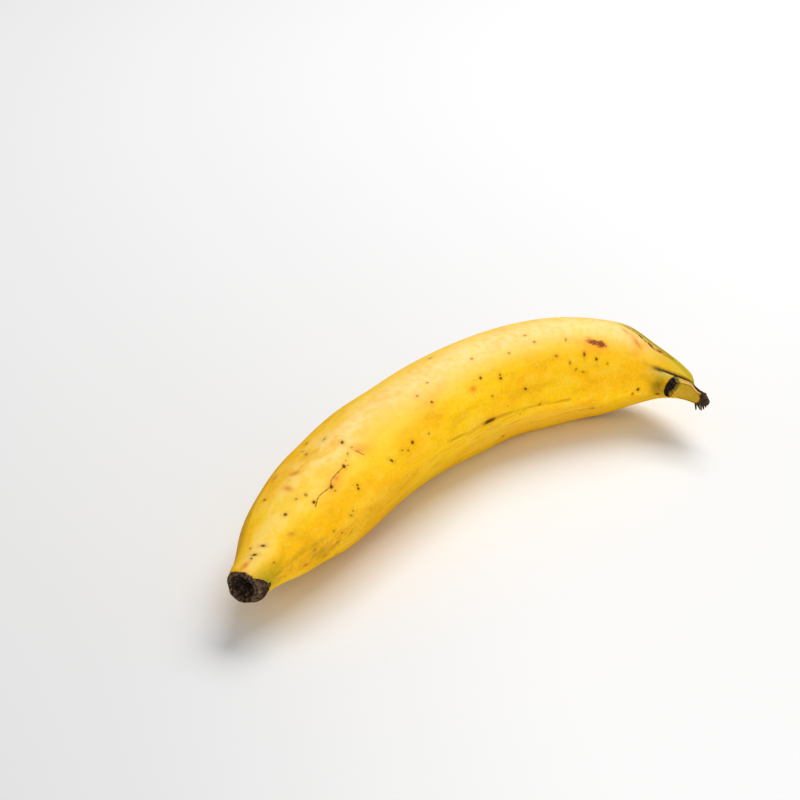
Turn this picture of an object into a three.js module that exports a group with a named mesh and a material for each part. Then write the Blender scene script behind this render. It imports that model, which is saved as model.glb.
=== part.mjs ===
// A plantain lying on its side, as one solid.
// Millimetres, +Z up, resting on Z = 0, with the blossom tip towards -X and the stem towards +X.
//
// The fruit is shaped straight and then bent. While it is straight, a point of the skin has a
// station (millimetres along the centre line from the blossom tip) and an angle round it:
// 0 degrees is the inside of the curve, 90 the top, 180 the outside of the curve, 270 the floor.

import * as THREE from 'three';

// Driving dimensions: lengths in millimetres, angles in degrees.
const LENGTH = 288;           // along the centre line
const START_HEADING = 30.4;   // of the centre line near the blossom tip, from +X towards +Y
const EVEN_BEND = 29.5;       // share of the bend that is spread along the whole fruit
const HOOK_BEND = 106;        // share of the bend that gathers towards the stem
const HOOK_POWER = 4.8;       // how late it gathers
const TIP_BEND = 5;           // slight turn back of the last stretch before the blossom tip
const TIP_SHARE = 0.12;       // how much of the length turns back
const BELLY_HEIGHT = 22.6;    // of the centre line over the floor
const TIP_DROP = 2.2;         // how much lower the centre line is at the blossom tip
const DROP_SHARE = 0.35;      // how much of the length drops
const CENTRE_STEPS = 580;

// Mean radius at each station.
const PROFILE = [
  [0, 7.2], [12, 10.1], [34, 17.3], [68, 22.7], [114, 24.1], [160, 24.3],
  [204, 24.3], [238, 21.7], [256, 15.9], [272, 9.3], [292, 3.3],
];

// The ridges that give the skin its soft corners.
const RIDGE_ANGLES = [16, 130, 188, 250, 318];  // at the blossom tip
const RIDGE_TWIST = -44;      // turn of every ridge on its way to the stem
const RIDGE_WIDTH = 17;       // degrees either side
const RIDGE_RISE_MID = 0.045; // as a share of the radius
const RIDGE_RISE_ENDS = 0.11;

// Fuller and flatter places: [station, length, angle, width in degrees, rise].
const FLANKS = [
  [251.6, 7.3, 131, 44, 2.5],  // shoulder where the far side turns into the neck
  [125, 50, 318, 30, -2.2],    // flat low on the near side
  [34, 25, 316, 30, -2.3],
  [30, 26, 160, 42, 1.8],      // fuller far side next to the blossom tip
];

// Slow dents and swellings: [rise in millimetres, waves along the fruit, waves round it, phase].
const SWELLS = [[0.28, 5, 1, 0.6], [0.22, 8, 2, 2.1], [0.14, 13, 1, 4.0]];

// Blossom end: a pit in a rough hollow, inside a rim that stands out in front of the tip.
// [radius, station], from the pit out to the rim.
const BLOSSOM_PROFILE = [
  [1.0, 3.3], [1.7, 2.2], [2.6, 1.7], [4.0, 1.0], [4.8, 0.1], [5.5, -1.1], [6.2, -1.7], [6.8, -1.1],
];
const BLOSSOM_LEAN = 0.6;     // how far the rim leans towards the outside of the curve

// The dried collar round the tip.
const COLLAR_LENGTH = 6;
const COLLAR_RINGS = [0.5, 2.2, 4.2, 6];  // stations
const COLLAR_FLARE = 0.5;     // how far the collar stands out from the skin under it
const COLLAR_LOBES = [[0.03, 3, 1.1], [0.022, 5, 0.3], [0.018, 8, 2.2]];  // [share, lobes, phase]

// Stem end: a neck cut off at a slant, with the rind as a rim round the paler core.
const NECK_STARTS = 260;      // rings slant from here on
const CUT_STATION = 291.2;    // where the cut crosses the centre line
const CUT_TILT = 60;          // between the cut and a square one
const CUT_ANGLE = 23;         // the side of the neck where the cut starts
const CUT_PASSES = 40;        // that find where the cut meets the skin
const RIND = 1.1;
const CORE_EDGE = 0.5;        // width of the step from the rind down to the core
const CORE_SUNK = 0.5;        // the core at its edge
const CORE_DISH = 0.65;       // the core in its middle
const CORE_DISH_WIDTH = 1.6;

// A crease that runs down the neck to the cut and leans towards the top.
const CREASE_STARTS = 264;
const CREASE_ENDS = 286;
const CREASE_FIRST_ANGLE = 48;
const CREASE_LAST_ANGLE = 76;
const CREASE_DEPTH = 0.8;
const CREASE_WIDTH = 10;

// A dried lump of rind at the heel of the cut, and torn fibres at its toe. Both lengths are shares
// of the neck.
const LUMP_ANGLE = 8;
const LUMP_RISE = 1.4;
const LUMP_WIDTH = 36;
const LUMP_LENGTH = 0.16;
const FRAY = 1.8;
const FRAY_WIDTH = 50;
const FRAY_LENGTH = 0.05;
const FRAY_STRANDS = 5;

const SECTORS = 44;
const RING_SPACING = 4.5;
const COLLAR_STEP = 0.8;      // from the end of the collar to the first ring of the body
const NECK_RINGS = 9;

const rad = THREE.MathUtils.degToRad;
const clamp = THREE.MathUtils.clamp;

// Signed difference between two angles, in degrees.
function turn(a, b) {
  return ((a - b + 540) % 360 + 360) % 360 - 180;
}

function bell(x, width) {
  return Math.exp(-((x / width) ** 2));
}

// A smooth line through the profile points that never overshoots them.
function meanRadius(station) {
  const s = clamp(station, 0, PROFILE[PROFILE.length - 1][0]);
  let i = 0;
  while (i < PROFILE.length - 2 && s > PROFILE[i + 1][0]) i += 1;
  const slope = (k) => (PROFILE[k + 1][1] - PROFILE[k][1]) / (PROFILE[k + 1][0] - PROFILE[k][0]);
  const tangent = (k) => {
    if (k === 0) return slope(0);
    if (k === PROFILE.length - 1) return slope(k - 1);
    const [before, after] = [slope(k - 1), slope(k)];
    return before * after <= 0 ? 0 : (2 * before * after) / (before + after);
  };
  const [s0, r0] = PROFILE[i];
  const [s1, r1] = PROFILE[i + 1];
  const span = s1 - s0;
  const u = (s - s0) / span;
  return r0 * (1 + 2 * u) * (1 - u) ** 2 + r1 * u * u * (3 - 2 * u)
    + span * (tangent(i) * u * (1 - u) ** 2 - tangent(i + 1) * u * u * (1 - u));
}

function ridgeRise(angle, station) {
  const t = clamp(station / LENGTH, 0, 1);
  const rise = RIDGE_RISE_MID + (RIDGE_RISE_ENDS - RIDGE_RISE_MID) * Math.abs(2 * t - 1) ** 3;
  const twist = RIDGE_TWIST * t * t;
  const mean = (RIDGE_ANGLES.length * RIDGE_WIDTH * Math.sqrt(Math.PI)) / 360;
  const ridges = RIDGE_ANGLES.reduce((sum, a) => sum + bell(turn(angle, a + twist), RIDGE_WIDTH), 0);
  return rise * (ridges - mean);
}

function swell(angle, station) {
  const t = clamp(station / LENGTH, 0, 1);
  return SWELLS.reduce((sum, [rise, along, round, phase]) => (
    sum + rise * Math.sin(Math.PI * t) * Math.sin(Math.PI * along * t + round * rad(angle) + phase)
  ), 0);
}

function flank(angle, station) {
  return FLANKS.reduce((sum, [place, length, side, width, rise]) => (
    sum + rise * bell(station - place, length) * bell(turn(angle, side), width)
  ), 0);
}

function crease(angle, station) {
  const along = clamp((station - CREASE_STARTS) / (CREASE_ENDS - CREASE_STARTS), 0, 1);
  const middle = CREASE_FIRST_ANGLE + (CREASE_LAST_ANGLE - CREASE_FIRST_ANGLE) * along;
  return CREASE_DEPTH * Math.sin(Math.PI * along) * bell(turn(angle, middle), CREASE_WIDTH);
}

// Radius of the skin.
function skin(angle, station) {
  return meanRadius(station) * (1 + ridgeRise(angle, station)) + swell(angle, station)
    + flank(angle, station) - crease(angle, station);
}

// Station at which the slanted cut meets the skin.
function cutStation(angle) {
  let s = CUT_STATION;
  for (let i = 0; i < CUT_PASSES; i += 1) {
    const slant = Math.tan(rad(CUT_TILT)) * Math.cos(rad(angle - CUT_ANGLE));
    s = (s + CUT_STATION - slant * skin(angle, s)) / 2;
  }
  return s;
}

// Centre line, with its heading in degrees.
function heading(t) {
  const tip = TIP_BEND * clamp(1 - t / TIP_SHARE, 0, 1) ** 2;
  return START_HEADING - EVEN_BEND * t - HOOK_BEND * t ** HOOK_POWER - tip;
}

const centreLine = [new THREE.Vector2()];
for (let i = 0; i < CENTRE_STEPS; i += 1) {
  const angle = rad(heading((i + 0.5) / CENTRE_STEPS));
  const step = new THREE.Vector2(Math.cos(angle), Math.sin(angle)).multiplyScalar(LENGTH / CENTRE_STEPS);
  centreLine.push(centreLine[i].clone().add(step));
}

function centreHeight(t) {
  return BELLY_HEIGHT - TIP_DROP * clamp(1 - t / DROP_SHARE, 0, 2) ** 2;
}

// From the straight fruit to the bent one: x and y lie across the centre line, towards the inside
// of the curve and upwards. What would reach under the floor is pressed flat.
function bend(x, y, station) {
  const t = clamp(station / LENGTH, 0, 1);
  const i = Math.min(Math.floor(t * CENTRE_STEPS), CENTRE_STEPS - 1);
  const centre = centreLine[i].clone().lerp(centreLine[i + 1], t * CENTRE_STEPS - i);
  const angle = rad(heading(t));
  const past = station - t * LENGTH;
  return new THREE.Vector3(
    centre.x + past * Math.cos(angle) + x * Math.sin(angle),
    centre.y + past * Math.sin(angle) - x * Math.cos(angle),
    Math.max(0, centreHeight(station / LENGTH) + y),
  );
}

const angles = Array.from({ length: SECTORS }, (_, j) => (j * 360) / SECTORS);

// A ring of the skin or of an end face, from a rule that gives each angle's radius and station.
function ring(rule, lean = 0) {
  return angles.map((angle) => {
    const [radius, station] = rule(angle);
    return bend(radius * Math.cos(rad(angle)) - lean, radius * Math.sin(rad(angle)), station);
  });
}

function collarLobes(angle) {
  return COLLAR_LOBES.reduce((sum, [share, lobes, phase]) => (
    sum + share * Math.sin(lobes * rad(angle) + phase)
  ), 0);
}

const blossomEnd = BLOSSOM_PROFILE.map(([radius, station]) => (
  ring((angle) => [radius * (1 + collarLobes(angle)), station], BLOSSOM_LEAN)
));

// The dried collar flares a little over the skin that it sits on.
const collar = COLLAR_RINGS.map((station) => (
  ring((angle) => {
    const dried = 1 - station / COLLAR_LENGTH;
    const lobes = collarLobes(angle) * meanRadius(station);
    return [skin(angle, station) + (lobes + COLLAR_FLARE) * dried, station];
  })
));

const bodyStarts = COLLAR_LENGTH + COLLAR_STEP;
const bodyRings = Math.round((NECK_STARTS - bodyStarts) / RING_SPACING);
const body = Array.from({ length: bodyRings }, (_, i) => {
  const station = bodyStarts + ((NECK_STARTS - bodyStarts) * i) / (bodyRings - 1);
  return ring((angle) => [skin(angle, station), station]);
});

// Along the neck the rings lean over, until the last one lies in the cut.
const neck = Array.from({ length: NECK_RINGS }, (_, i) => {
  const u = (i + 1) / NECK_RINGS;
  return ring((angle) => {
    const station = NECK_STARTS + (cutStation(angle) - NECK_STARTS) * u;
    const lump = LUMP_RISE * bell(turn(angle, LUMP_ANGLE), LUMP_WIDTH) * bell(1 - u, LUMP_LENGTH);
    const fromToe = turn(angle, CUT_ANGLE + 180);
    const strands = (1 + Math.cos(FRAY_STRANDS * rad(fromToe))) / 2;
    const fray = FRAY * strands * bell(fromToe, FRAY_WIDTH) * bell(1 - u, FRAY_LENGTH);
    return [skin(angle, station) + lump, station + fray];
  });
});

// A ring in the cut, that far in from the skin and that deep under the rind.
function insideCut(inset, depth) {
  return ring((angle) => {
    const station = cutStation(angle);
    const share = 1 - inset / skin(angle, station);
    return [skin(angle, station) * share, CUT_STATION + (station - CUT_STATION) * share - depth];
  });
}
const cutFace = [
  insideCut(RIND, 0),
  insideCut(RIND + CORE_EDGE, CORE_SUNK),
  insideCut(RIND + CORE_DISH_WIDTH, CORE_DISH),
];

// Skin over all the rings, closed by a fan at each end.
function loft(rings, start, end) {
  const points = [start, ...rings.flat(), end];
  const at = (k, j) => 1 + k * SECTORS + (j % SECTORS);
  const faces = [];
  for (let j = 0; j < SECTORS; j += 1) {
    faces.push(0, at(0, j), at(0, j + 1));
    for (let k = 0; k < rings.length - 1; k += 1) {
      faces.push(at(k, j), at(k + 1, j), at(k + 1, j + 1));
      faces.push(at(k, j), at(k + 1, j + 1), at(k, j + 1));
    }
    faces.push(points.length - 1, at(rings.length - 1, j + 1), at(rings.length - 1, j));
  }
  const geometry = new THREE.BufferGeometry().setFromPoints(points);
  geometry.setIndex(faces);
  return geometry;
}

const fruit = loft(
  [...blossomEnd, ...collar, ...body, ...neck, ...cutFace],
  bend(-BLOSSOM_LEAN, 0, BLOSSOM_PROFILE[0][1]),
  bend(0, 0, CUT_STATION - CORE_DISH),
);

// Origin under the middle of the fruit's box.
fruit.computeBoundingBox();
const middle = fruit.boundingBox.getCenter(new THREE.Vector3());
fruit.translate(-middle.x, -middle.y, -fruit.boundingBox.min.z);
fruit.computeVertexNormals();

const peel = new THREE.MeshStandardMaterial({ color: 0xf2bd12, roughness: 0.5, metalness: 0 });
const plantain = new THREE.Mesh(fruit, peel);
plantain.name = 'plantain';

const group = new THREE.Group();
group.name = 'plantain_fruit';
group.add(plantain);

export default group;
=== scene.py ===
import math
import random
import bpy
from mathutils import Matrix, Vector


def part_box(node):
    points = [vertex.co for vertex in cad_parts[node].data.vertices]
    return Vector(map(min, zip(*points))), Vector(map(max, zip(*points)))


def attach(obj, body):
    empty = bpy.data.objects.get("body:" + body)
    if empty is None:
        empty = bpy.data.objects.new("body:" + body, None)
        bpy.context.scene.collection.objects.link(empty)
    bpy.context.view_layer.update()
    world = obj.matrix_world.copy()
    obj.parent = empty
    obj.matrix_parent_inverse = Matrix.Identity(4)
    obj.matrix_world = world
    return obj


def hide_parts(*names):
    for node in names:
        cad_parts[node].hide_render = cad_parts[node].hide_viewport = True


bl_info = {
    "name": "Plantain",
    "version": (1, 0, 0),
    "blender": (4, 5, 0),
    "location": "3D View > Sidebar > Plantain",
    "description": "Models a ripe plantain with its peel, dried blossom tip and slanted stem cut",
    "category": "Object",
}

import bpy
import numpy as np
from mathutils import Vector, noise

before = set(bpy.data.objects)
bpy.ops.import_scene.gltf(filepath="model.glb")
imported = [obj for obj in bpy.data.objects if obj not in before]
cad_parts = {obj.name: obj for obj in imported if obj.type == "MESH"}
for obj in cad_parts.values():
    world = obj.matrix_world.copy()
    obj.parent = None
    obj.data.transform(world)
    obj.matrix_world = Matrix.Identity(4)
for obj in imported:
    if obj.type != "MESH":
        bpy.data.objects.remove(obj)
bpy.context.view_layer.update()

MM = 0.001
NODE = "plantain"
BODY = "root"

# The fruit is shaped straight along Z and then bent. While it is straight, a point of the skin has
# a station, its Z, measured from the blossom tip, and an angle round the centre line in degrees:
# 0 is the inside of the curve, 90 the top, 180 the outside of the curve, 270 the floor.

# Centre line. Angles are in degrees.
START_HEADING = 30.4
EVEN_BEND = 29.5
HOOK_BEND = 106
HOOK_POWER = 4.8
TIP_BEND = 5
TIP_SHARE = 0.12
BELLY_HEIGHT = 22.6 * MM
TIP_DROP = 2.2 * MM
DROP_SHARE = 0.35
CENTRE_STEPS = 580

# Mean radius at each station, in millimetres.
PROFILE = np.array([
    (0, 7.2), (12, 10.1), (34, 17.3), (68, 22.7), (114, 24.1), (160, 24.3),
    (204, 24.3), (238, 21.7), (256, 15.9), (272, 9.3), (292, 3.3),
]) * MM

# Ridges, as angles at the blossom tip, and the slow swells between them:
# rise in millimetres, waves along the fruit, waves round it, phase.
RIDGE_ANGLES = (16, 130, 188, 250, 318)
RIDGE_TWIST = -44
RIDGE_WIDTH = 17
SWELLS = ((0.28, 5, 1, 0.6), (0.22, 8, 2, 2.1), (0.14, 13, 1, 4.0))

# Fuller and flatter places, as (station, length, angle, width in degrees, rise) in millimetres:
# the shoulder by the neck, two flats low on the near side, the far side next to the tip.
FLANKS = ((251.6, 7.3, 131, 44, 2.5), (125, 50, 318, 30, -2.2), (34, 25, 316, 30, -2.3),
          (30, 26, 160, 42, 1.8))

# Blossom end: station and radius of its rings in millimetres, from the pit out to the rim, and
# the stations of the collar's rings that follow.
HOLLOW_RINGS = (
    (3.9, 0.8), (3.4, 1.4), (2.5, 2.1), (2.0, 3.0), (1.5, 3.8), (0.8, 4.5), (-0.1, 5.0), (-1.0, 5.4),
    (-1.6, 5.8), (-1.8, 6.25), (-1.45, 6.65), (-0.8, 6.95),
)
COLLAR_STATIONS = (0.4, 1.2, 2.1, 3.1, 4.2, 5.4, 6.7, 8.2, 9.9)
RIM_LEAN = 0.6 * MM
RIM_RADIUS = 6.2 * MM
RIM_SOFTNESS = 0.4 * MM

# The rim's lobes and its flare carry on up the collar: in full at first, and then less and less
# until just past its reach. Lobes are a share of the radius, a count round the tip and a phase.
COLLAR_FLARE = 0.5 * MM
COLLAR_REACH = 6 * MM
COLLAR_FULL = 0.1
COLLAR_LOBES = ((0.03, 3, 1.1), (0.022, 5, 0.3), (0.018, 8, 2.2))

# The edge of the dried skin reaches furthest on one side. It waves by a height in millimetres, so
# many times round the tip, from a phase, and less where it doesn't reach far.
COLLAR_SIDE = -17
COLLAR_SPREAD = 44
COLLAR_WAVES = ((0.35, 5, 1.0), (0.25, 9, 2.0), (0.2, 14, 0))
COLLAR_CALM = 0.4
COLLAR_SET_BACK = 0.5
COLLAR_SOFTNESS = 0.5 * MM

# Stem end. The cut is a slanted plane across the neck, and its heel is the end nearer the belly.
# The toe, the other end, frays on past the cut, over a width in degrees and a share of the neck.
NECK_STARTS = 258 * MM
CUT_STATION = 291.2 * MM
CUT_TILT = 60
CUT_ANGLE = 23
CUT_PASSES = 40
FRAY = 0.9 * MM
FRAY_WIDTH = 50
FRAY_SHARE = 0.05

# The cut's rings from its rim to its middle: how far each is from the rim while the cut is flat,
# and how deep it is then sunk, in millimetres. They move to a bevel, to the rind, and to where the
# core starts and levels out past the rind, but no nearer the middle than a least share of the
# rim's radius. The last ring is a smaller share still, and its inward distance is the middle's.
CUT_RINGS = ((0.3, 0), (0.9, 0), (1.5, 0.5), (2.2, 0.6), (2.9, 0.65))
CUT_BEVEL = 0.3 * MM
CORE_STARTS = 0.5 * MM
CORE_LEVELS = 1.8 * MM
CORE_LEAST = 0.28
CORE_MIDDLE = 9 * MM
CORE_SHARE = 0.14

# Less than this far inward from the rim, a point still counts as skin.
SKIN_EDGE = 0.15 * MM

# The dried lump at the heel of the cut: a slanted roll from one station and angle to another, on
# a base that swells the neck over a share of its length.
LUMP_ANGLE = 8
LUMP_WIDTH = 36
LUMP_BASE = 1.4 * MM
LUMP_SHARE = 0.16
LUMP_ENDS = ((279.4, -12), (280.6, 27))
LUMP_STEPS = 9
LUMP_DEPTH = 0.9
LUMP_RADIUS = 2.6 * MM
LUMP_RISE = 1.7 * MM

# The crease that runs down the neck and then along the upper rim of the cut: stations, angles.
CREASE = (
    (266, 48.5), (271.6, 50), (275.2, 54), (277.8, 57), (281, 64), (284.4, 75), (286.6, 88), (288, 113),
)
CREASE_DEPTH = 0.75 * MM
CREASE_WIDTH = 0.75 * MM
CREASE_FADES = (7 * MM, 3 * MM)

# Where the lobe above the crease ends with a step down: stations, angles. Past the angle where it
# fades, the step gets softer.
LOBE_END = ((288, 100), (285.8, 122), (282.7, 135), (279.5, 146), (279, 170))
LOBE_ANGLE = 148
LOBE_SPREAD = 46
LOBE_STEP = 2.0 * MM
LOBE_RIM = 1.5 * MM
LOBE_SOFTNESS = 1.1 * MM
LOBE_FADES = 130
LOBE_FADE_WIDTH = 35
LOBE_BLUR = 9 * MM

# Edges of the dried parts, and of the painted shadow beside the lump: where each starts, and over how
# much it grows to its full strength. It grows the other way where that is less than 0. At the tip they
# are radii and a station in millimetres. The lump's are shares of its radius. At the cut they are
# stations, then distances from the rim, then angles from the seam's middle.
HOLLOW_EDGE = (5.4, -0.7)
HOLLOW_LIMIT = (6.5, -0.5)
RIM_EDGE = (4.9, 0.6)
RIM_FRONT = (1.0, -1.2)
LUMP_EDGE = (1.05, -0.2)
LUMP_SHADOW_EDGE = (1.5, -0.35)
TOE_EDGE = (293.2 * MM, 1.2 * MM)
CORE_EDGE = (1.2 * MM, 0.5 * MM)
RIM_SEAM = (0.8 * MM, -0.3 * MM)
RIM_SEAM_STARTS = 0.05 * MM
RIM_SEAM_ANGLE = 150
RIM_SEAM_FROM = (-62, 15)
RIM_SEAM_TO = (60, -20)

# The dried seam over the rim of the cut, and the rises of the seam and the toe in millimetres.
SEAM_ANGLE = 145
SEAM_SPREAD = 72
SEAM_WIDTH = 0.8 * MM
SEAM_SET_BACK = 0.2 * MM
SEAM_DEPTH = 0.75 * MM
SEAM_RISE = 0.45
TOE_RISE = 0.5

# How dark the skin is painted past the end of the lobe, as shade below its step, and beside the lump, as
# the lump's shadow, as shares.
PAST_LOBE_SHADE = 0.4
LUMP_SHADOW_SHARE = 0.7

# Bumps: height, size in millimetres, and seed.
DENTS = (1, 13, 0)
COLLAR_RAGS = (1.1, 1.7, 3)
HOLLOW_RAGS = (0.35, 2.2, 17)
SCALES = ((0.5, 1.2, 7), (0.5, 2.6, 5))
FURROW_SWAY = (3, 4, 9)
TORN_HOLLOW = ((0.5, 1.7, 2), (0.25, 0.8, 13))
RIM_WAVES = ((0.3, 3.0, 11), (0.06, 0.8, 15))
LUMP_OUTLINE = (0.16, 1.6, 4)
LUMP_CRUST = (0.4, 1.4, 8)
TOE_OUTLINE = (1.2, 1.5, 6)
SEAM_CRUST = (0.3, 0.9, 1)
CORE_GRAIN = (0.1, 1.2, 12)

# How much bumps are drawn out along the fruit: the less, the longer they are.
DENT_STRETCH = (1, 1, 0.6)
CORE_STRETCH = (1, 1, 0.5)
FURROWS = 19
FURROW_DEPTH = 0.16
CRUST_RISE = 0.1

CREST_WIDTH = 3.6
CREST_STARTS = 12 * MM
CREST_ENDS = 280 * MM
CREST_FADE = 20 * MM
TIP_ZONE = 16 * MM
NECK_ZONE = 256 * MM
SECTORS = 52
BODY_STARTS = 11.8 * MM
BODY_RINGS = 74
NECK_RINGS = 14


def length_property(name, description, default, low, high):
    return bpy.props.FloatProperty(
        name=name, description=description, default=default, min=low, max=high, unit="LENGTH")


class FruitSettings(bpy.types.PropertyGroup):
    length: length_property(
        "Length", "Along the centre line, from the blossom tip to the stem", 0.288, 0.15, 0.4)
    ridge_rise_middle: bpy.props.FloatProperty(
        name="Ridges at the middle", description="Rise of the ridges, as a share of the radius",
        default=0.045, min=0, max=0.2, subtype="FACTOR")
    ridge_rise_ends: bpy.props.FloatProperty(
        name="Ridges at the ends", description="Rise of the ridges, as a share of the radius",
        default=0.11, min=0, max=0.3, subtype="FACTOR")
    collar_length: length_property(
        "Dried collar", "How far the dried skin reaches from the blossom tip", 0.0066, 0, 0.02)
    rind: length_property(
        "Rind", "Thickness of the rind that shows round the cut", 0.0011, 0.0003, 0.003)
    dent_depth: length_property("Dents", "Depth of the slow dents in the skin", 0.00022, 0, 0.002)
    crest_rise: length_property(
        "Ridge crests", "Height of the narrow crest on each ridge", 0.00022, 0, 0.002)
    fibre_length: length_property(
        "Torn fibres", "Length of the torn fibres at the toe of the cut", 0.0034, 0.0005, 0.01)
    fibre_count: bpy.props.IntProperty(
        name="Fibre count", description="How many fibres stand at the toe of the cut",
        default=14, min=1, max=40)
    smoothing: bpy.props.IntProperty(
        name="Smoothing", description="Subdivision levels of the fruit", default=2, min=0, max=3)


def colour_property(name, description, default):
    return bpy.props.FloatVectorProperty(
        name=name, description=description, default=default, size=3, min=0, max=1, subtype="COLOR")


class PeelColours(bpy.types.PropertyGroup):
    ripe: colour_property("Ripe yellow", "Main colour of the peel", (0.95, 0.56, 0.002))
    deep: colour_property("Deep yellow", "Peel in the deeper patches", (0.93, 0.47, 0.001))
    pale: colour_property("Pale yellow", "Peel in the paler patches", (0.95, 0.63, 0.040))
    peach: colour_property("Peach", "Blotches and the band under a ridge", (0.86, 0.50, 0.040))
    # The butter colour is a painted highlight: the pale sheen of the overhead light on the upper side.
    painted_highlight: colour_property("Butter", "Pale tint of the upper side", (0.97, 0.71, 0.27))
    ochre: colour_property("Ochre", "Mottling of the peel", (0.52, 0.24, 0.003))
    # The green is kept dark and olive partly as painted shade on the far side of the neck.
    green: colour_property("Green", "Unripe tint of the neck and the tip", (0.28, 0.29, 0.008))
    # Olive is partly the peel's own tint and partly painted shade: in the neck's crease, beside the lump,
    # under the ridge near the tip and on the lower edge of the cut's rind.
    olive: colour_property("Olive", "Olive shadows in the peel", (0.20, 0.135, 0.004))
    cream: colour_property("Cream", "Greenish cream beside the cut", (0.74, 0.57, 0.11))
    speck: colour_property("Specks", "Sugar spots and scratches", (0.085, 0.028, 0.002))
    scab: colour_property("Scab", "The reddish scab", (0.22, 0.035, 0.010))
    rust: colour_property("Rust", "Small reddish spots", (0.62, 0.21, 0.012))
    orange: colour_property("Orange", "Skin round the scab and in sore patches", (0.90, 0.33, 0.012))
    dried: colour_property("Dried skin", "The darkest dried skin", (0.012, 0.008, 0.006))
    bark: colour_property("Bark", "Brown of the dried collar and the toe", (0.078, 0.042, 0.020))
    ash: colour_property("Ash", "Paler flakes on dried skin", (0.13, 0.085, 0.058))
    straw: colour_property("Straw", "The palest flecks on dried skin", (0.32, 0.21, 0.09))
    rind: colour_property("Rind", "Cut edge of the rind", (0.80, 0.50, 0.13))
    core: colour_property("Core", "Cut core of the neck", (0.50, 0.30, 0.002))


class StageSettings(bpy.types.PropertyGroup):
    floor_size: bpy.props.FloatProperty(
        name="Floor size", description="Width of the floor", default=8, unit="LENGTH")
    floor_colour: colour_property("Floor", "Colour of the floor", (0.84, 0.84, 0.84))
    key_power: bpy.props.FloatProperty(
        name="Key light", description="Power of the large soft light overhead", default=10.2, min=0)
    front_power: bpy.props.FloatProperty(
        name="Front light", description="Power of the soft light from the front", default=14.8, min=0)
    fill_strength: bpy.props.FloatProperty(
        name="Fill", description="Strength of the light from all round", default=0.52, min=0)
    camera_distance: bpy.props.FloatProperty(
        name="Camera distance", description="From the camera to what it looks at",
        default=1.1, min=0.3, unit="LENGTH")
    camera_height: bpy.props.FloatProperty(
        name="Camera angle", description="How far the camera looks down",
        default=math.radians(30), subtype="ANGLE")


def bell(x, width):
    return np.exp(-((x / width) ** 2))


def turn(a, b):
    """Signed difference between two angles, in degrees."""
    return (a - b + 180) % 360 - 180


def smooth_step(x):
    x = np.clip(x, 0, 1)
    return x * x * (3 - 2 * x)


def grows(value, edge, softness):
    """Grows smoothly from 0 at the edge to 1 a softness past it."""
    return smooth_step((value - edge) / softness)


def mean_radius(station):
    """A smooth line through the profile points that never overshoots them."""
    stations, radii = PROFILE.T
    s = np.clip(station, stations[0], stations[-1])
    i = np.clip(np.searchsorted(stations, s) - 1, 0, len(stations) - 2)
    slopes = np.diff(radii) / np.diff(stations)
    tangents = np.concatenate(([slopes[0]], np.zeros(len(slopes) - 1), [slopes[-1]]))
    before, after = slopes[:-1], slopes[1:]
    same_way = before * after > 0
    tangents[1:-1][same_way] = (2 * before * after / (before + after))[same_way]
    span = stations[i + 1] - stations[i]
    u = (s - stations[i]) / span
    return (
        radii[i] * (1 + 2 * u) * (1 - u) ** 2 + radii[i + 1] * u * u * (3 - 2 * u)
        + span * (tangents[i] * u * (1 - u) ** 2 - tangents[i + 1] * u * u * (1 - u))
    )


def ridge_angle(base, station, length):
    return base + RIDGE_TWIST * np.clip(station / length, 0, 1) ** 2


def crease_gap(angle, station):
    """Distance over the skin from the crease of the neck, less than 0 on its lower side."""
    stations, angles = np.array(CREASE).T
    middle = np.interp(station / MM, stations, angles)
    return np.radians(turn(angle, middle)) * mean_radius(station)


def skin_radius(angle, station, fruit):
    """Radius of the skin, with its ridges and swells."""
    t = np.clip(station / fruit.length, 0, 1)
    spread = fruit.ridge_rise_ends - fruit.ridge_rise_middle
    rise = fruit.ridge_rise_middle + spread * np.abs(2 * t - 1) ** 3
    mean = len(RIDGE_ANGLES) * RIDGE_WIDTH * math.sqrt(math.pi) / 360
    ridges = sum(bell(turn(angle, ridge_angle(a, station, fruit.length)), RIDGE_WIDTH)
                 for a in RIDGE_ANGLES)
    swells = sum(
        height * MM * np.sin(math.pi * t)
        * np.sin(math.pi * along * t + around * np.radians(angle) + phase)
        for height, along, around, phase in SWELLS)
    flanks = sum(
        height * MM * bell(station - place * MM, length * MM) * bell(turn(angle, side), width)
        for place, length, side, width, height in FLANKS)
    return mean_radius(station) * (1 + rise * (ridges - mean)) + swells + flanks


def cut_station(angle, fruit):
    """Station at which the slanted cut meets the skin."""
    slant = math.tan(math.radians(CUT_TILT)) * np.cos(np.radians(angle - CUT_ANGLE))
    station = np.full(np.shape(angle), CUT_STATION)
    for _ in range(CUT_PASSES):
        station = (station + CUT_STATION - slant * skin_radius(angle, station, fruit)) / 2
    return station


def collar_lobes(angle):
    return 1 + sum(share * np.sin(lobes * np.radians(angle) + phase)
                   for share, lobes, phase in COLLAR_LOBES)


def heading(t):
    tip = TIP_BEND * np.clip(1 - t / TIP_SHARE, 0, 1) ** 2
    return np.radians(START_HEADING - EVEN_BEND * t - HOOK_BEND * t ** HOOK_POWER - tip)


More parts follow.
